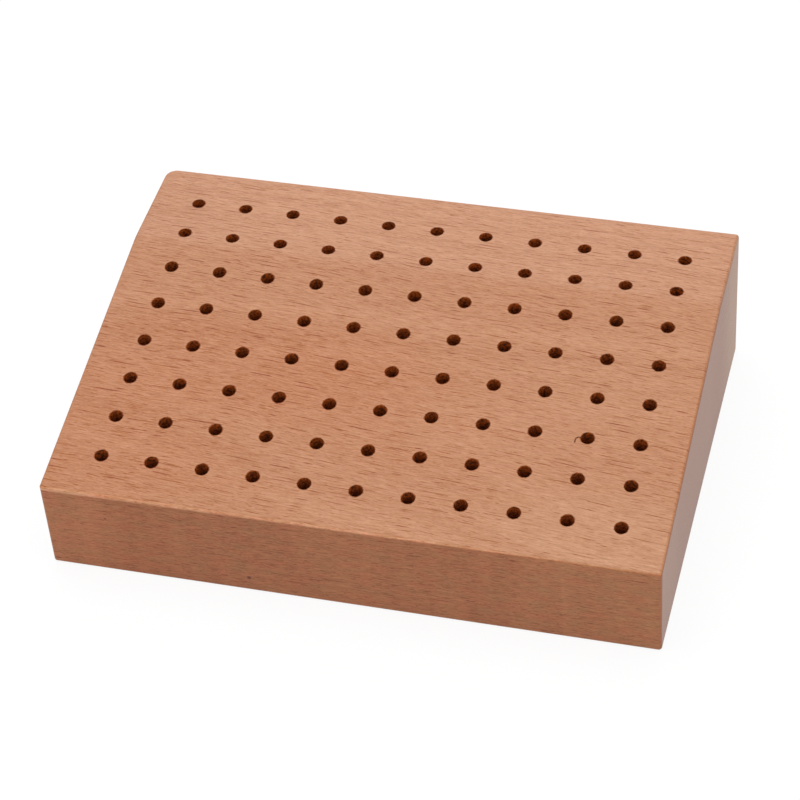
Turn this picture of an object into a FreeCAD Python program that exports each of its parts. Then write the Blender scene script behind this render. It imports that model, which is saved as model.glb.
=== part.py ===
import FreeCAD, Part
import math
import os
import Sketcher

# Wooden bur block: one solid of beech with a grid of blind holes that hold rotary burs upright.
# X runs along the block, Y from the front to the back and Z up.
# The origin is the middle of the flat underside, and all lengths are in millimetres.

NODE = "bur_block"
SIZES = {
    # Length from end to end, depth from front to back, and the two heights of the section
    "block_length": 147.32,
    "block_depth": 104.14,
    "front_height": 25.4,
    "back_height": 38.1,
    # Depth of the level strip behind the slope, measured from the back face
    "level_run": 27.1,
    # Sanded rounding of the bend in the top, of the back left corner and of every sharp edge
    "bend_radius": 15.0,
    "corner_radius": 3.0,
    "edge_ease": 0.8,
    # Margins from each side of the block to the centres of the nearest holes
    "left_margin": 12.15,
    "right_margin": 11.25,
    "back_margin": 12.392,
    "front_margin": 10.94,
    # Holes: how many, how wide, and how far their flat floors stand above the underside
    "hole_columns": 11,
    "hole_rows": 8,
    "hole_diameter": 3.3,
    "hole_floor": 9.5,
    # The drill went this much deeper in the first hole
    "first_hole_extra": 0.01,
}
# Positions closer than this are the same, and faces that meet at more than this are sharp
SAME_PLACE = 1e-4
SHARP_ANGLE = math.radians(20)


def make_sheet(doc):
    sheet = doc.addObject("Spreadsheet::Sheet", "sizes")
    for row, (alias, value) in enumerate(SIZES.items(), start=1):
        sheet.set(f"A{row}", alias)
        sheet.set(f"B{row}", str(value))
        sheet.setAlias(f"B{row}", alias)
    doc.recompute()
    return sheet


def origin_part(body, role):
    return next(part for part in body.Origin.OriginFeatures if part.Role == role)


def add_sketch(body, name, plane):
    sketch = body.newObject("Sketcher::SketchObject", name)
    sketch.AttachmentSupport = [(origin_part(body, plane), "")]
    sketch.MapMode = "FlatFace"
    return sketch


def bind_constraint(sketch, constraint, name, formula):
    index = sketch.addConstraint(constraint)
    sketch.renameConstraint(index, name)
    sketch.setExpression(f"Constraints.{name}", formula)


# Names of the edges whose ends both lie at the wanted coordinates, such as y=52 and z=38
def edges_at(shape, **wanted):
    names = []
    for number, edge in enumerate(shape.Edges, start=1):
        points = [vertex.Point for vertex in edge.Vertexes]
        gaps = [abs(getattr(point, axis) - value) for point in points for axis, value in wanted.items()]
        if max(gaps) < SAME_PLACE:
            names.append(f"Edge{number}")
    return names


# Names of the edges whose two faces meet at a marked angle
def sharp_edges(shape):
    names = []
    for number, edge in enumerate(shape.Edges, start=1):
        middle = edge.valueAt((edge.FirstParameter + edge.LastParameter) / 2)
        faces = shape.ancestorsOfType(edge, Part.Face)
        normals = [face.normalAt(*face.Surface.parameter(middle)) for face in faces]
        if normals[0].getAngle(normals[1]) > SHARP_ANGLE:
            names.append(f"Edge{number}")
    return names


# Side section: flat base, low front, a slope up to the bend, a level strip and a high back
def draw_section(doc, body, sheet):
    sketch = add_sketch(body, "side_section", "YZ_Plane")
    half_depth = sheet.block_depth / 2
    bend_y = half_depth - sheet.level_run
    corners = [
        FreeCAD.Vector(-half_depth, 0, 0),
        FreeCAD.Vector(half_depth, 0, 0),
        FreeCAD.Vector(half_depth, sheet.back_height, 0),
        FreeCAD.Vector(bend_y, sheet.back_height, 0),
        FreeCAD.Vector(-half_depth, sheet.front_height, 0),
    ]
    for start, end in zip(corners, corners[1:] + corners[:1]):
        sketch.addGeometry(Part.LineSegment(start, end), False)
    base, back, level, slope, front = range(len(corners))
    for line in (base, back, level, slope):
        sketch.addConstraint(Sketcher.Constraint("Coincident", line, 2, line + 1, 1))
    sketch.addConstraint(Sketcher.Constraint("Coincident", front, 2, base, 1))
    for line in (base, level):
        sketch.addConstraint(Sketcher.Constraint("Horizontal", line))
    for line in (back, front):
        sketch.addConstraint(Sketcher.Constraint("Vertical", line))
    sketch.addConstraint(Sketcher.Constraint("Symmetric", base, 1, base, 2, -1, 1))

    depth = Sketcher.Constraint("DistanceX", base, 1, base, 2, sheet.block_depth)
    bind_constraint(sketch, depth, "depth", "sizes.block_depth")
    rise = Sketcher.Constraint("DistanceY", back, 1, back, 2, sheet.back_height)
    bind_constraint(sketch, rise, "back_rise", "sizes.back_height")
    run = Sketcher.Constraint("DistanceX", level, 2, level, 1, sheet.level_run)
    bind_constraint(sketch, run, "level_strip", "sizes.level_run")
    nose = Sketcher.Constraint("DistanceY", front, 2, front, 1, sheet.front_height)
    bind_constraint(sketch, nose, "front_rise", "sizes.front_height")
    doc.recompute()
    return sketch


def saw_blank(doc, body, section):
    blank = body.newObject("PartDesign::Pad", "sawn_blank")
    blank.Profile = section
    blank.SideType = "Symmetric"
    blank.setExpression("Length", "sizes.block_length")
    doc.recompute()
    return blank


def round_edges(doc, body, base, name, edges, formula):
    rounded = body.newObject("PartDesign::Fillet", name)
    rounded.Base = (base, edges)
    rounded.setExpression("Radius", formula)
    doc.recompute()
    return rounded


# Sanding: the bend is softened, the back left corner is rounded, then every sharp edge is eased
def sand(doc, body, sheet, blank):
    bend_y = sheet.block_depth / 2 - sheet.level_run
    bend = edges_at(blank.Shape, y=bend_y, z=sheet.back_height)
    bent = round_edges(doc, body, blank, "soft_bend", bend, "sizes.bend_radius")
    corner = edges_at(bent.Shape, x=-sheet.block_length / 2, y=sheet.block_depth / 2)
    cornered = round_edges(doc, body, bent, "round_corner", corner, "sizes.corner_radius")
    edges = sharp_edges(cornered.Shape)
    return round_edges(doc, body, cornered, "eased_edges", edges, "sizes.edge_ease")


# One flat-floored hole, drilled straight down from the height of the level strip
def drill(doc, body, name, sketch, formula):
    hole = body.newObject("PartDesign::Hole", name)
    hole.Profile = sketch
    hole.Threaded = False
    hole.DepthType = "Dimension"
    hole.DrillPoint = "Flat"
    hole.setExpression("Diameter", "sizes.hole_diameter")
    hole.setExpression("Depth", formula)
    doc.recompute()
    return hole


# First hole, at the back left, down to the common floor level
def drill_first_hole(doc, body, sheet):
    sketch = add_sketch(body, "first_hole_centre", "XY_Plane")
    sketch.setExpression("AttachmentOffset.Base.z", "sizes.back_height")
    from_middle = sheet.block_length / 2 - sheet.left_margin
    behind_middle = sheet.block_depth / 2 - sheet.back_margin
    centre = FreeCAD.Vector(-from_middle, behind_middle, 0)
    up = FreeCAD.Vector(0, 0, 1)
    sketch.addGeometry(Part.Circle(centre, up, sheet.hole_diameter / 2), False)
    across = Sketcher.Constraint("DistanceX", 0, 3, -1, 1, from_middle)
    bind_constraint(sketch, across, "from_middle", "sizes.block_length / 2 - sizes.left_margin")
    behind = Sketcher.Constraint("DistanceY", -1, 1, 0, 3, behind_middle)
    bind_constraint(sketch, behind, "behind_middle", "sizes.block_depth / 2 - sizes.back_margin")
    width = Sketcher.Constraint("Diameter", 0, sheet.hole_diameter)
    bind_constraint(sketch, width, "width", "sizes.hole_diameter")
    doc.recompute()
    return drill(doc, body, "first_hole", sketch, "sizes.back_height - sizes.hole_floor")


# The grid spreads the first hole evenly between the margins, to the right and to the front
def spread_holes(doc, body, hole):
    grid = body.newObject("PartDesign::LinearPattern", "hole_grid")
    grid.Originals = [hole]
    grid.Direction = (origin_part(body, "X_Axis"), [""])
    grid.Mode = "Extent"
    grid.setExpression("Length", "sizes.block_length - sizes.left_margin - sizes.right_margin")
    grid.setExpression("Occurrences", "sizes.hole_columns")
    grid.Direction2 = (origin_part(body, "Y_Axis"), [""])
    grid.Reversed2 = True
    grid.Mode2 = "Extent"
    grid.setExpression("Length2", "sizes.block_depth - sizes.back_margin - sizes.front_margin")
    grid.setExpression("Occurrences2", "sizes.hole_rows")
    body.Tip = grid
    doc.recompute()
    return grid


# The first hole ends a hair below the floors of the others
def deepen_first_hole(doc, body, first_hole):
    formula = "sizes.back_height - sizes.hole_floor + sizes.first_hole_extra"
    deeper = drill(doc, body, "first_hole_end", first_hole.Profile[0], formula)
    body.Tip = deeper
    doc.recompute()
    return deeper


def check_block(doc, body, sanded, first_hole, grid, deeper):
    for item in doc.Objects:
        if "Invalid" in item.State or "Error" in item.State:
            raise RuntimeError(f"{item.Label} failed: {item.State}")
    shape = body.Shape
    if shape.isNull() or not shape.isValid() or len(shape.Solids) != 1:
        raise RuntimeError("the block isn't one valid solid")
    one_hole = sanded.Shape.Volume - first_hole.Shape.Volume
    all_holes = sanded.Shape.Volume - grid.Shape.Volume
    extra = grid.Shape.Volume - deeper.Shape.Volume
    print("volume of the first hole", round(one_hole, 1), "and of all holes", round(all_holes, 1))
    print("volume that the first hole is deeper by", round(extra, 4))
    if one_hole <= 0 or all_holes < one_hole or extra <= 0:
        raise RuntimeError("the holes cut nothing")


def build_block():
    doc = FreeCAD.newDocument("bur_block")
    sheet = make_sheet(doc)
    body = doc.addObject("PartDesign::Body", NODE)
    body.Label = NODE
    body.Placement = FreeCAD.Placement()
    doc.recompute()
    section = draw_section(doc, body, sheet)
    blank = saw_blank(doc, body, section)
    sanded = sand(doc, body, sheet, blank)
    first_hole = drill_first_hole(doc, body, sheet)
    grid = spread_holes(doc, body, first_hole)
    deeper = deepen_first_hole(doc, body, first_hole)
    check_block(doc, body, sanded, first_hole, grid, deeper)
    return body


block = build_block()
os.makedirs("parts", exist_ok=True)
block.Shape.exportStep(f"parts/{block.Label}.step")
print(block.Label, "volume", round(block.Shape.Volume, 1), "faces", len(block.Shape.Faces))
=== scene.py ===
import math

import bpy
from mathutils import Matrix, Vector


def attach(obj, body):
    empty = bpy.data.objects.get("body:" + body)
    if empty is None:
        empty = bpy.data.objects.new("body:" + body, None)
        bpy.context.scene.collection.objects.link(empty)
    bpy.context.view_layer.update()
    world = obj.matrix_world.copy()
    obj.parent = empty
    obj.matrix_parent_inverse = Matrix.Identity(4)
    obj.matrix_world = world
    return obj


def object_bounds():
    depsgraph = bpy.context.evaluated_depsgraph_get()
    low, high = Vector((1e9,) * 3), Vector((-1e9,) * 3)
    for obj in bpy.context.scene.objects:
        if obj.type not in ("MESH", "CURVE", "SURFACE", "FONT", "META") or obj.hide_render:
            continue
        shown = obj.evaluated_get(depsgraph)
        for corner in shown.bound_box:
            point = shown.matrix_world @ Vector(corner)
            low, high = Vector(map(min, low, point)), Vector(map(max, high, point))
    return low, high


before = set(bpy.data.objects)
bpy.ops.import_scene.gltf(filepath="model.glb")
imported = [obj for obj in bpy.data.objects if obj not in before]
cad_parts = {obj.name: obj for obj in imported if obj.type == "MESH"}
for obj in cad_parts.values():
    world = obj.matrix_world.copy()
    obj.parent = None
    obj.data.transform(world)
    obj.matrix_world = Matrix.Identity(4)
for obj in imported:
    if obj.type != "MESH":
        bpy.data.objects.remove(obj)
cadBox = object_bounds()
print("frame loaded")


def linear(hexColour):
    channels = [int(hexColour[i:i + 2], 16) / 255 for i in (1, 3, 5)]
    return [c / 12.92 if c <= 0.04045 else ((c + 0.055) / 1.055) ** 2.4 for c in channels] + [1.0]


# A whole-number key is the number of an input, a word is a setting or the name of an input.
# A link comes from a socket, or from a node, which then gives its first live output.
def addNode(tree, kind, settings=None, links=None):
    node = tree.nodes.new("ShaderNode" + kind)
    for key, value in (settings or {}).items():
        if isinstance(key, str) and hasattr(node, key):
            setattr(node, key, value)
        else:
            node.inputs[key].default_value = value
    for key, source in (links or {}).items():
        if isinstance(source, bpy.types.Node):
            source = next(socket for socket in source.outputs if socket.enabled)
        tree.links.new(source, node.inputs[key])
    return node


def newMaterial(name):
    material = bpy.data.materials.new(name)
    material.use_nodes = True
    material.node_tree.nodes.clear()
    return material, material.node_tree


# Faces of the block, in millimetres from the middle of its underside
perMetre = 1000.0
left, front = [edge * perMetre for edge in cadBox[0][:2]]
back, top = [edge * perMetre for edge in cadBox[1][1:]]

# The top is level from the back to the bend and then slopes to the front
section = {"levelRun": 27.1, "frontHeight": 25.4}
bend = back - section["levelRun"]
slope = (top - section["frontHeight"]) / (bend - front)

beech = {
    "colour": "#BE835D",
    "hue": (0.77, 1.25, 1.85),  # how red, green and blue follow a lighter or darker streak
    "warmHue": (-0.022, -0.091, -0.153),
    "ior": 1.5,
    "roughness": (0.42, 0.8),  # of the sanded faces, and of the drilled walls
    "bump": {"strength": 0.25, "depth": 0.00003},  # the depth is in metres
    "grainTurn": 4.0,  # degrees, the grain runs a little towards the front on the right
    "grainDip": 0.8,
    "slowWave": {"length": 60.0, "push": (0.0, 1.6, 0.8)},  # lengths are in millimetres from here on
    "quickWave": {"length": 11.0, "push": (0.0, 0.45, 0.3)},
    "rings": {"width": 1.3, "radius": 120.0, "tones": (0.25, 0.75), "shade": 0.05},
    "fibres": (
        {"size": (3.5, 0.32, 0.32), "shade": 0.35},
        {"size": (0.8, 0.16, 0.16), "shade": 0.25},
    ),
    # Ray flecks on the top. Half lengths run from many short ones to a few long ones.
    "flecks": (
        {"cell": (12.5, 1.2, 25.0), "halfWidth": 0.14, "halfLength": (1.0, 6.0), "shade": -0.52},
        {"cell": (4.0, 0.8, 15.0), "halfWidth": 0.11, "halfLength": (0.5, 2.2), "shade": -0.38},
    ),
    # The same sheets cut along, on the front and back: short dashes and cloudy upright bands
    "dashes": (
        {"cell": (2.2, 30.0, 0.5), "halfWidth": 0.08, "halfLength": (0.3, 1.3), "shade": -0.5},
        {"cell": (9.0, 30.0, 1.1), "halfWidth": 0.15, "halfLength": (0.8, 4.0), "shade": -0.34},
    ),
    # How far short ones outnumber long ones, how softly each one ends, and how their strengths spread
    "shortness": 1.5,
    "lensEdge": (1.1, 0.5),
    "strengths": (0.1, 0.9),
    "mottle": {"size": (6.0, 3.0, 40.0), "shade": 0.18},
    # Turns at which a face begins to look like a front, an end or a rounded edge, and fully does
    "frontTurn": (0.35, 0.95),
    "endTurn": (0.5, 0.95),
    "edgeTurn": (0.15, 0.45),
    # The share of the flecks that shows on the front and on the ends
    "frontRays": 0.12,
    "endRays": 0.25,
    # Soft specks on the top that lean to yellow or to pink, and on the front to pink or to olive
    "blush": {"size": (2.4, 1.2, 2.4), "hue": (0.0, -0.035, -0.11)},
    "frontBlush": {"size": (5.0, 3.0, 2.2), "hue": (0.11, -0.09, -0.04)},
    # Broad paler and darker places on the top: middle, half width and half depth, and the change in shade
    "patches": (
        # The first one is painted shade: the slope just ahead of the bend is darkened, as it takes less light
        # than the level strip
        (0, 19, 130, 9, -0.045),
        (45, 10.5, 55, 4, 0.03),
        (-42, 7, 42, 1.4, 0.035),
        (62, -44, 42, 16, 0.055),
        (38, -56, 86, 17, 0.075),
        (-70, 36, 30, 24, -0.055),
        (-60, 7, 30, 13, -0.035),
        (-50, -8, 38, 13, -0.035),
        (-42, -30, 24, 2.5, 0.025),
        (-8, -44, 40, 8, 0.03),
    ),
    # Places where the wood is warmer or, below zero, cooler: middle, half width and half depth, and how much
    "warmPatches": (
        (-38, -9, 62, 22, 1.0),
        (-64, -38, 50, 30, 1.15),
        (0, -16, 44, 28, 0.65),
        (62, -44, 44, 20, -0.8),
        (62, 4, 44, 26, -0.3),
    ),
    # A patch fades in between these shares of its half size, and noise of this size pushes its rim about
    "patchEdge": (1.0, 0.3),
    "stir": {"size": (32.0, 4.0, 30.0), "push": (23.0, 2.5, 0.0)},
    # One thin dark year ring on the slope, in the turned directions of the grain
    "veins": ((-29.5, -31.0, 21, 0.3, -0.13),),
    # Paler and darker places on the front face: middle, height, half width and half height, and the change
    "frontPatches": (
        (-72, 13, 34, 24, 0.15),
        (26, 10, 96, 24, -0.05),
        (60, 10, 44, 24, -0.025),
        # The last one is painted shade, darker along the foot of the front where it meets the table
        (0, 0, 120, 5, -0.02),
    ),
    # Cut along the rays, the wood looks redder; this redder, darker tint is partly painted shade, standing
    # for the dimmer, warmer light that the front takes
    "front": (1.03, 0.79, 0.565, 1.0),
    # Two dark pin marks on the front face
    "pins": {
        "places": ((-24.3, 4.4, 0.75, 0.75, 1.0), (-58.3, 17.6, 0.5, 0.45, 0.8)),
        "tint": (0.36, 0.17, 0.1, 1.0),
    },
    # A painted highlight along the upper edge of the front, brightened to the colour of the top as if a wider
    # rounding caught the overhead light, and less far down on the right
    "paintedEdgeHighlight": {"range": (24.5, 25.15), "lean": -0.008, "tint": (1.74, 1.8, 1.98, 1.0)},
    # End grain drinks more light and is greyer, and more mauve ahead of its back corner; its grey, bluish
    # lean is partly painted light, standing for the cool light and low sheen that the end takes
    "end": (0.98, 1.18, 1.34, 1.0),
    "endAhead": {"range": (50.0, 26.0), "tint": (0.75, 0.58, 0.57, 1.0)},
    # The edges of the right end are rubbed orange ahead of the middle
    "burnish": {"range": (20.0, 0.0), "tint": (1.0, 0.87, 0.72, 1.0)},
}
holes = {
    "leftMargin": 12.15,
    "backMargin": 12.392,
    "pitchX": 12.392,
    "pitchY": 11.544,
    "columns": 11,
    "rows": 8,
    "radius": 1.65,
    # The drilled wall from its mouth down, and how deep it darkens, which is painted shade in the hole
    "mouthColour": "#AB510F",
    "deepColour": "#70300A",
    "darkBelow": 3.2,
    # A face that turns up less than this, and isn't further outside the radius than this, is wall
    "wallTurn": 0.5,
    "wallSlack": 0.1,
    "tufts": {"size": 0.6, "tones": (0.36, 0.66), "dark": 0.3, "pale": 1.75},
    # The dark torn edge is partly painted shade where the lip falls into the hole, and the pale ring is a
    # painted highlight
    "torn": {"width": 0.26, "size": 0.7, "wander": 0.3, "shade": -0.5},
    "pale": {"radius": 2.05, "width": 0.25, "shade": 0.05},
}

# Steamed beech, planed and fine sanded, left without varnish. The eye sees an even pinkish tan with short
# brown dashes, where the rays end on the top, and a soft sheen only at a low angle.
material, tree = newMaterial("steamedBeechSanded")
coordinates = addNode(tree, "TexCoord")
plain = addNode(tree, "VectorMath", {"operation": "SCALE", "Scale": perMetre},
                {0: coordinates.outputs["Object"]})
place = addNode(tree, "SeparateXYZ", {}, {0: plain})
along = addNode(tree, "Mapping", {
    "Rotation": (0.0, math.radians(beech["grainDip"]), math.radians(beech["grainTurn"])),
}, {"Vector": plain})
shades = []


# Noise pushes the coordinates about, each way by at most the push
def stirUp(vector, noise, push):
    middle = (0.5, 0.5, 0.5)
    bothWays = [2 * reach for reach in push]
    middled = addNode(tree, "VectorMath", {"operation": "SUBTRACT", 1: middle}, {0: noise.outputs["Color"]})
    return addNode(tree, "VectorMath", {"operation": "MULTIPLY_ADD", 1: bothWays}, {0: middled, 2: vector})


# Noise in cells of a size in millimetres, drawn out along the grain
def drawGrain(size):
    grid = addNode(tree, "VectorMath", {"operation": "DIVIDE", 1: size}, {0: along})
    return addNode(tree, "TexNoise", {"Scale": 1.0, "Detail": 1.0}, {"Vector": grid})


# Soft ovals seen from above, or from the front if upright
def drawPatches(patches, vector, upright=False):
    drawn = []
    faint, full = beech["patchEdge"]
    for x, second, halfWidth, halfHeight, amount in patches:
        middle = (x, 0.0, second) if upright else (x, second, 0.0)
        scale = (1 / halfWidth, 0.0, 1 / halfHeight) if upright else (1 / halfWidth, 1 / halfHeight, 0.0)
        away = addNode(tree, "VectorMath", {"operation": "SUBTRACT", 1: middle}, {0: vector})
        scaled = addNode(tree, "VectorMath", {"operation": "MULTIPLY", 1: scale}, {0: away})
        reach = addNode(tree, "VectorMath", {"operation": "LENGTH"}, {0: scaled})
        drawn.append(addNode(tree, "MapRange", {
            "interpolation_type": "SMOOTHSTEP", "From Min": faint, "From Max": full, "To Max": amount,
        }, {"Value": reach}))
    return drawn


# The last of the nodes that add all the values together
def addUp(values):
    total = values[0]
    for value in values[1:]:
        total = addNode(tree, "Math", {"operation": "ADD"}, {0: total, 1: value})
    return total


# Slow and quick waves bend every pattern of the wood together
for wave in (beech["slowWave"], beech["quickWave"]):
    swell = addNode(tree, "TexNoise", {"Scale": 1 / wave["length"], "Detail": 1.0}, {"Vector": along})
    along = stirUp(along, swell, wave["push"])

# How much a place belongs to the front or back, to an end, and to the rest
normals = addNode(tree, "SeparateXYZ", {}, {0: coordinates.outputs["Normal"]})
frontness = addNode(tree, "Math", {"operation": "ABSOLUTE"}, {0: normals.outputs["Y"]})
frontMask = addNode(tree, "MapRange", {
    "interpolation_type": "SMOOTHSTEP", "From Min": beech["frontTurn"][0], "From Max": beech["frontTurn"][1],
}, {"Value": frontness})
endness = addNode(tree, "Math", {"operation": "ABSOLUTE"}, {0: normals.outputs["X"]})
endMask = addNode(tree, "MapRange", {
    "interpolation_type": "SMOOTHSTEP", "From Min": beech["endTurn"][0], "From Max": beech["endTurn"][1],
}, {"Value": endness})
notFront = addNode(tree, "MapRange", {"To Min": 1.0, "To Max": beech["frontRays"]}, {"Value": frontMask})
notEnd = addNode(tree, "MapRange", {"To Min": 1.0, "To Max": beech["endRays"]}, {"Value": endMask})
onTop = addNode(tree, "Math", {"operation": "MULTIPLY"}, {0: notFront, 1: notEnd})

# Year rings: large flat arcs, which the slope of the top cuts into broad bands
rings = beech["rings"]
grain = addNode(tree, "SeparateXYZ", {}, {0: along})
crossSquare = addNode(tree, "Math", {"operation": "MULTIPLY"}, {0: grain.outputs["Y"], 1: grain.outputs["Y"]})
ringHeight = addNode(tree, "Math", {"operation": "MULTIPLY_ADD", 1: 1 / (2 * rings["radius"])},
                     {0: crossSquare, 2: grain.outputs["Z"]})
ringTone = addNode(tree, "TexNoise", {"noise_dimensions": "1D", "Scale": 1 / rings["width"], "Detail": 2.0},
                   {"W": ringHeight})
shades.append(addNode(tree, "MapRange", {
    "From Min": rings["tones"][0], "From Max": rings["tones"][1],
    "To Min": -rings["shade"], "To Max": rings["shade"],
}, {"Value": ringTone}))

# Fibres: fine streaks along the grain
for streak in beech["fibres"]:
    shades.append(addNode(tree, "MapRange", {
        "clamp": False, "To Min": -streak["shade"], "To Max": streak["shade"],
    }, {"Value": drawGrain(streak["size"])}))

# Rays: thin upright sheets, drawn as one lens in each cell of a stretched grid of scattered points.
# The top shows them lengthwise and across, the front and back lengthwise and upright.
rays = [(kind, (1, 1, 0), onTop) for kind in beech["flecks"]]
rays += [(kind, (1, 0, 1), frontMask) for kind in beech["dashes"]]
for kind, seen, faceMask in rays:
    grid = addNode(tree, "VectorMath", {"operation": "DIVIDE", 1: kind["cell"]}, {0: along})
    point = addNode(tree, "TexVoronoi", {"Scale": 1.0}, {"Vector": grid})
    away = addNode(tree, "VectorMath", {"operation": "SUBTRACT"}, {0: grid, 1: point.outputs["Position"]})
    chance = addNode(tree, "SeparateColor", {}, {0: point.outputs["Color"]})
    skewed = addNode(tree, "Math", {"operation": "POWER", 1: beech["shortness"]}, {0: chance.outputs[0]})
    shortest, longest = kind["halfLength"]
    halfLength = addNode(tree, "MapRange", {"To Min": shortest, "To Max": longest}, {"Value": skewed})
    inHalves = addNode(tree, "CombineXYZ", {1: kind["halfWidth"], 2: kind["halfWidth"]}, {0: halfLength})
    seenSize = [size * shown for size, shown in zip(kind["cell"], seen)]
    flat = addNode(tree, "VectorMath", {"operation": "MULTIPLY", 1: seenSize}, {0: away})
    lens = addNode(tree, "VectorMath", {"operation": "DIVIDE"}, {0: flat, 1: inHalves})
    reach = addNode(tree, "VectorMath", {"operation": "LENGTH"}, {0: lens})
    rim, core = beech["lensEdge"]
    mask = addNode(tree, "MapRange", {
        "interpolation_type": "SMOOTHSTEP", "From Min": rim, "From Max": core,
    }, {"Value": reach})
    weakest, strongest = beech["strengths"]
    strength = addNode(tree, "MapRange", {
        "From Min": weakest, "From Max": strongest, "To Max": kind["shade"],
    }, {"Value": chance.outputs[1]})
    drawn = addNode(tree, "Math", {"operation": "MULTIPLY"}, {0: mask, 1: strength})
    shades.append(addNode(tree, "Math", {"operation": "MULTIPLY"}, {0: drawn, 1: faceMask}))

# Upright mottling, as the rays give it on a face cut along them
mottle = beech["mottle"]
mottled = addNode(tree, "MapRange", {
    "clamp": False, "To Min": -mottle["shade"], "To Max": mottle["shade"],
}, {"Value": drawGrain(mottle["size"])})
shades.append(addNode(tree, "Math", {"operation": "MULTIPLY"}, {0: mottled, 1: frontMask}))

# Distance from the middle of the nearest hole
toHole = []
for axis, start, pitch, count in (
    ("X", left + holes["leftMargin"], holes["pitchX"], holes["columns"]),
    ("Y", back - holes["backMargin"], -holes["pitchY"], holes["rows"]),
):
    shifted = addNode(tree, "Math", {"operation": "SUBTRACT", 1: start}, {0: place.outputs[axis]})
    inPitches = addNode(tree, "Math", {"operation": "DIVIDE", 1: pitch}, {0: shifted})
    nearest = addNode(tree, "Math", {"operation": "ROUND"}, {0: inPitches})
    kept = addNode(tree, "Clamp", {"Min": 0.0, "Max": count - 1.0}, {"Value": nearest})
    offset = addNode(tree, "Math", {"operation": "SUBTRACT"}, {0: inPitches, 1: kept})
    toHole.append(addNode(tree, "Math", {"operation": "MULTIPLY", 1: pitch}, {0: offset}))
holeVector = addNode(tree, "CombineXYZ", {}, {0: toHole[0], 1: toHole[1]})
holeDistance = addNode(tree, "VectorMath", {"operation": "LENGTH"}, {0: holeVector})

# Around each mouth a narrow torn edge, dark and uneven, partly torn fibres and partly painted shade where the
# lip falls into the hole, and then a thin paler ring, a painted highlight such as a small chamfer would catch
torn = holes["torn"]
tear = addNode(tree, "TexNoise", {"Scale": 1 / torn["size"], "Detail": 2.0}, {"Vector": plain})
wander = addNode(tree, "MapRange", {
    "clamp": False, "To Min": -torn["wander"], "To Max": torn["wander"],
}, {"Value": tear})
uneven = addNode(tree, "Math", {"operation": "ADD"}, {0: holeDistance, 1: wander})
shades.append(addNode(tree, "MapRange", {
    "interpolation_type": "SMOOTHSTEP",
    "From Min": holes["radius"] + torn["width"], "From Max": holes["radius"], "To Max": torn["shade"],
}, {"Value": uneven}))
paleRing = holes["pale"]
beside = addNode(tree, "Math", {"operation": "SUBTRACT", 1: paleRing["radius"]}, {0: holeDistance})
besideSize = addNode(tree, "Math", {"operation": "ABSOLUTE"}, {0: beside})
shades.append(addNode(tree, "MapRange", {
    "interpolation_type": "SMOOTHSTEP",
    "From Min": paleRing["width"], "From Max": 0.0, "To Max": paleRing["shade"],
}, {"Value": besideSize}))

# Broad patches, with edges drawn out along the grain
stirred = stirUp(plain, drawGrain(beech["stir"]["size"]), beech["stir"]["push"])
shades += drawPatches(beech["patches"], stirred) + drawPatches(beech["veins"], along)
onFront = addUp(drawPatches(beech["frontPatches"], plain, True))
shades.append(addNode(tree, "Math", {"operation": "MULTIPLY"}, {0: onFront, 1: frontMask}))
shade = addUp(shades)

# Every shade and lean of colour changes the body colour of the wood
warm = addUp(drawPatches(beech["warmPatches"], stirred))
shadeHue = addNode(tree, "VectorMath", {"operation": "SCALE", 0: beech["hue"]}, {"Scale": shade})
warmHue = addNode(tree, "VectorMath", {"operation": "SCALE", 0: beech["warmHue"]}, {"Scale": warm})
change = addNode(tree, "VectorMath", {"operation": "ADD"}, {0: shadeHue, 1: warmHue})
for blush, faceMask in ((beech["blush"], onTop), (beech["frontBlush"], frontMask)):
    speck = drawGrain(blush["size"])
    lean = addNode(tree, "MapRange", {"clamp": False, "To Min": -1.0, "To Max": 1.0}, {"Value": speck})
    here = addNode(tree, "Math", {"operation": "MULTIPLY"}, {0: lean, 1: faceMask})
    leaned = addNode(tree, "VectorMath", {"operation": "SCALE", 0: blush["hue"]}, {"Scale": here})
    change = addNode(tree, "VectorMath", {"operation": "ADD"}, {0: change, 1: leaned})
body = linear(beech["colour"])[:3]
wood = addNode(tree, "VectorMath", {"operation": "MULTIPLY_ADD", 1: body, 2: body}, {0: change})

# Drilled wall: end grain and side grain together, rubbed darker by the drill and partly darkened as painted
# shade, and darker still further down as painted shade deep in the hole
wallReach = holes["radius"] + holes["wallSlack"]
steep = addNode(tree, "Math", {"operation": "LESS_THAN", 1: holes["wallTurn"]}, {0: normals.outputs["Z"]})
within = addNode(tree, "Math", {"operation": "LESS_THAN", 1: wallReach}, {0: holeDistance})
wallMask = addNode(tree, "Math", {"operation": "MULTIPLY"}, {0: steep, 1: within})
ahead = addNode(tree, "Math", {"operation": "SUBTRACT", 0: bend}, {1: place.outputs["Y"]})
downSlope = addNode(tree, "Math", {"operation": "MAXIMUM", 1: 0.0}, {0: ahead})
surface = addNode(tree, "Math", {"operation": "MULTIPLY_ADD", 1: -slope, 2: top}, {0: downSlope})
depth = addNode(tree, "Math", {"operation": "SUBTRACT"}, {0: surface, 1: place.outputs["Z"]})
inDepth = addNode(tree, "MapRange", {"From Max": holes["darkBelow"]}, {"Value": depth})
wall = addNode(tree, "Mix", {
    "data_type": "RGBA", 6: linear(holes["mouthColour"]), 7: linear(holes["deepColour"]),
}, {0: inDepth})

# Torn fibre ends catch the light on the wall as paler and darker specks
tufts = holes["tufts"]
fibreEnds = addNode(tree, "TexNoise", {"Scale": 1 / tufts["size"], "Detail": 2.0}, {"Vector": plain})
tuftTone = addNode(tree, "MapRange", {
    "From Min": tufts["tones"][0], "From Max": tufts["tones"][1],
    "To Min": tufts["dark"], "To Max": tufts["pale"],
}, {"Value": fibreEnds})
tufted = addNode(tree, "VectorMath", {"operation": "SCALE"}, {0: wall, "Scale": tuftTone})
coloured = addNode(tree, "Mix", {"data_type": "RGBA"}, {0: wallMask, 6: wood, 7: tufted})
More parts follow.
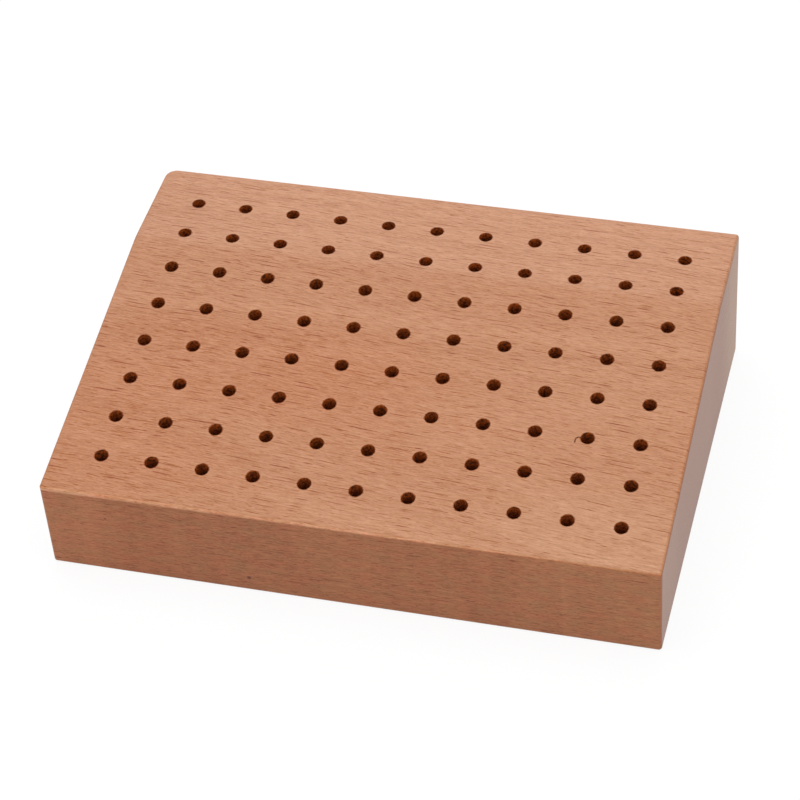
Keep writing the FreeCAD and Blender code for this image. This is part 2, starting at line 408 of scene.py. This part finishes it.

# The front and back are cut along the rays and look redder than the top, a tint that is partly painted shade,
# apart from the painted highlight along the upper edge of the front
notWall = addNode(tree, "Math", {"operation": "SUBTRACT", 0: 1.0}, {1: wallMask})
frontAmount = addNode(tree, "Math", {"operation": "MULTIPLY"}, {0: frontMask, 1: notWall})
forward = addNode(tree, "Math", {"operation": "LESS_THAN", 1: 0.0}, {0: normals.outputs["Y"]})
frontOnly = addNode(tree, "Math", {"operation": "MULTIPLY"}, {0: frontAmount, 1: forward})
# Painted highlight: a band at the top of the front is lit to the colour of the top, and the rest of the front
# is what it leaves
paintedEdgeHighlight = beech["paintedEdgeHighlight"]
leaning = addNode(tree, "Math", {"operation": "MULTIPLY_ADD", 1: paintedEdgeHighlight["lean"]},
                  {0: place.outputs["X"], 2: place.outputs["Z"]})
highlightHeight = addNode(tree, "MapRange", {
    "interpolation_type": "SMOOTHSTEP", "From Min": paintedEdgeHighlight["range"][0], "From Max": paintedEdgeHighlight["range"][1],
}, {"Value": leaning})
highlightAmount = addNode(tree, "Math", {"operation": "MULTIPLY"}, {0: highlightHeight, 1: frontOnly})
outsideHighlight = addNode(tree, "Math", {"operation": "SUBTRACT"}, {0: frontAmount, 1: highlightAmount})
pinMarks = addUp(drawPatches(beech["pins"]["places"], plain, True))
pinAmount = addNode(tree, "Math", {"operation": "MULTIPLY"}, {0: pinMarks, 1: frontOnly})

# The ends show end grain, with a grey, bluish lean that is partly painted light
endAmount = addNode(tree, "Math", {"operation": "MULTIPLY"}, {0: endMask, 1: notWall})
endAhead = beech["endAhead"]
nearer = addNode(tree, "MapRange", {
    "interpolation_type": "SMOOTHSTEP", "From Min": endAhead["range"][0], "From Max": endAhead["range"][1],
}, {"Value": place.outputs["Y"]})
mauveAmount = addNode(tree, "Math", {"operation": "MULTIPLY"}, {0: nearer, 1: endAmount})

# The edges of the right end are burnished towards the front, which leaves a thin orange line
burnish = beech["burnish"]
upOrForward = addNode(tree, "Math", {"operation": "SUBTRACT"},
                      {0: normals.outputs["Z"], 1: normals.outputs["Y"]})
atEdge = addNode(tree, "Math", {"operation": "MULTIPLY"}, {0: normals.outputs["X"], 1: upOrForward})
edgeMask = addNode(tree, "MapRange", {
    "interpolation_type": "SMOOTHSTEP", "From Min": beech["edgeTurn"][0], "From Max": beech["edgeTurn"][1],
}, {"Value": atEdge})
toFront = addNode(tree, "MapRange", {
    "interpolation_type": "SMOOTHSTEP", "From Min": burnish["range"][0], "From Max": burnish["range"][1],
}, {"Value": place.outputs["Y"]})
edgeAmount = addNode(tree, "Math", {"operation": "MULTIPLY"}, {0: edgeMask, 1: notWall})
lineAmount = addNode(tree, "Math", {"operation": "MULTIPLY"}, {0: edgeAmount, 1: toFront})

for amount, tint in (
    (outsideHighlight, beech["front"]),
    (highlightAmount, paintedEdgeHighlight["tint"]),
    (pinAmount, beech["pins"]["tint"]),
    (endAmount, beech["end"]),
    (mauveAmount, endAhead["tint"]),
    (lineAmount, burnish["tint"]),
):
    coloured = addNode(tree, "Mix", {"data_type": "RGBA", "blend_type": "MULTIPLY", 7: tint},
                       {0: amount, 6: coloured})

sanded, drilled = beech["roughness"]
roughness = addNode(tree, "MapRange", {"To Min": sanded, "To Max": drilled}, {"Value": wallMask})
bump = addNode(tree, "Bump", {"Strength": beech["bump"]["strength"], "Distance": beech["bump"]["depth"]},
               {"Height": shade})
shader = addNode(tree, "BsdfPrincipled", {"IOR": beech["ior"]},
                 {"Base Color": coloured, "Roughness": roughness, "Normal": bump})
addNode(tree, "OutputMaterial", {}, {0: shader})

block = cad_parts["bur_block"]
for slot in block.material_slots:
    slot.material = material
print("block dressed")

# One fibre torn up by the drill curls out of a hole in the sixth row and lies on the slope
curl = {
    # Holes to the right of the first one and in front of it
    "hole": (9, 5),
    # To the right of and behind the middle of the hole, height above the slope and half thickness
    "path": (
        (-1.558, -0.108, 0.05, 0.08),
        (-1.968, 0.162, 0.10, 0.10),
        (-2.698, -0.008, 0.12, 0.10),
        (-2.878, -0.908, 0.11, 0.12),
        (-2.698, -1.618, 0.10, 0.15),
    ),
    "roundSteps": 3,
    "lengthSteps": 8,
    # Points closer than this are one, and edges that bend by fewer degrees than this are smooth
    "mergeBelow": 0.001,
    "smoothBelow": 40.0,
    # Dark brown, partly painted shade of the crack under the lifted fibre
    "colour": "#6A3A1C",
    "roughness": 0.75,
}
bpy.ops.object.select_all(action="DESELECT")
bpy.ops.curve.primitive_nurbs_path_add(location=(0, 0, 0))
tornFibre = bpy.context.object
tornFibre.name = "torn_fibre"
line = tornFibre.data
# A point with a radius of one is a millimetre round the path
line.bevel_depth = 1 / perMetre
line.bevel_resolution = curl["roundSteps"]
line.resolution_u = curl["lengthSteps"]
line.use_fill_caps = True
holesRight, holesAhead = curl["hole"]
holeX = left + holes["leftMargin"] + holesRight * holes["pitchX"]
holeY = back - holes["backMargin"] - holesAhead * holes["pitchY"]
for point, (toRight, behind, lift, halfThickness) in zip(line.splines[0].points, curl["path"]):
    x, y = holeX + toRight, holeY + behind
    z = top - (bend - y) * slope + lift
    point.co = (x / perMetre, y / perMetre, z / perMetre, 1.0)
    point.radius = halfThickness
bpy.ops.object.convert(target="MESH")
bpy.ops.object.mode_set(mode="EDIT")
bpy.ops.mesh.select_all(action="SELECT")
bpy.ops.mesh.remove_doubles(threshold=curl["mergeBelow"] / perMetre)
bpy.ops.mesh.normals_make_consistent(inside=False)
bpy.ops.object.mode_set(mode="OBJECT")
bpy.ops.object.shade_smooth_by_angle(angle=math.radians(curl["smoothBelow"]))

# A bundle of raw beech fibres, duller and browner than the sanded face beside it; its dark brown is partly
# painted shade, standing for the shaded crack under the lifted fibre
splinter, tree = newMaterial("tornFibreWithCrackShade")
shader = addNode(tree, "BsdfPrincipled", {
    "Base Color": linear(curl["colour"]), "Roughness": curl["roughness"],
})
addNode(tree, "OutputMaterial", {}, {0: shader})
tornFibre.data.materials.append(splinter)
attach(tornFibre, "root")
print("torn fibre laid")

# White sweep, seen white by the eye and as a pale table by the light that it sends back
floor = {"size": 6.0, "seen": 0.9, "shadow": 0.12, "lit": "#CCCCCC"}
white = (1.0, 1.0, 1.0, 1.0)


# One for a ray that shows the white surroundings as they are, zero for a ray that gathers their light
def drawSeen(tree):
    path = addNode(tree, "LightPath")
    seen = path.outputs["Is Camera Ray"]
    for kind in ("Is Glossy Ray", "Is Transmission Ray"):
        seen = addNode(tree, "Math", {"operation": "MAXIMUM"}, {0: seen, 1: path.outputs[kind]})
    return seen


bpy.ops.object.select_all(action="DESELECT")
bpy.ops.mesh.primitive_plane_add(size=floor["size"], location=(0, 0, 0))
table = bpy.context.object
table.name = "table"
paint, tree = newMaterial("whiteTable")
glow = addNode(tree, "Emission", {"Color": white, "Strength": floor["seen"]})
thin = addNode(tree, "BsdfDiffuse", {"Color": (floor["shadow"],) * 3 + (1.0,)})
both = addNode(tree, "AddShader", {}, {0: glow, 1: thin})
matt = addNode(tree, "BsdfDiffuse", {"Color": linear(floor["lit"])})
mixed = addNode(tree, "MixShader", {}, {0: drawSeen(tree), 1: matt, 2: both})
addNode(tree, "OutputMaterial", {}, {0: mixed})
table.data.materials.append(paint)

studio = {"lit": 0.42, "seen": 1.0}
world = bpy.data.worlds.new("studio")
bpy.context.scene.world = world
world.use_nodes = True
tree = world.node_tree
tree.nodes.clear()
strength = addNode(tree, "MapRange", {"To Min": studio["lit"], "To Max": studio["seen"]},
                   {"Value": drawSeen(tree)})
sky = addNode(tree, "Background", {"Color": white}, {"Strength": strength})
addNode(tree, "OutputWorld", {}, {0: sky})

lamps = {
    "overheadLamp": {
        "place": (0.0, 0.0, 1.1),
        "turn": (0.0, 0.0, 0.0),
        "size": (1.4, 1.0),
        "watts": 8.0,
        "shiny": False,
    },
    # Long panel low behind the block, whose gloss reaches the eye from the level strip alone
    "backPanel": {
        "place": (-0.3, 0.95, 0.87),
        "turn": (-50.0, 0.0, 17.5),
        "size": (1.2, 0.35),
        "watts": 3.4,
        "shiny": True,
    },
}
for name, lamp in lamps.items():
    turn = [math.radians(angle) for angle in lamp["turn"]]
    bpy.ops.object.light_add(type="AREA", location=lamp["place"], rotation=turn)
    light = bpy.context.object
    light.name = name
    light.data.shape = "RECTANGLE"
    light.data.size, light.data.size_y = lamp["size"]
    light.data.energy = lamp["watts"]
    light.visible_glossy = lamp["shiny"]
print("table and light placed")

view = {
    "place": (0.147555, -0.464374, 0.476038),
    "turn": (46.64498581, 3.50260011, 14.34767729),
    "lens": 124.15434,
    "sensor": 36.0,
}
turn = [math.radians(angle) for angle in view["turn"]]
bpy.ops.object.camera_add(location=view["place"], rotation=turn)
camera = bpy.context.object
camera.name = "productCamera"
camera.data.lens = view["lens"]
camera.data.sensor_width = view["sensor"]
bpy.context.scene.camera = camera
bpy.context.scene.view_settings.view_transform = "Standard"
print("camera placed")
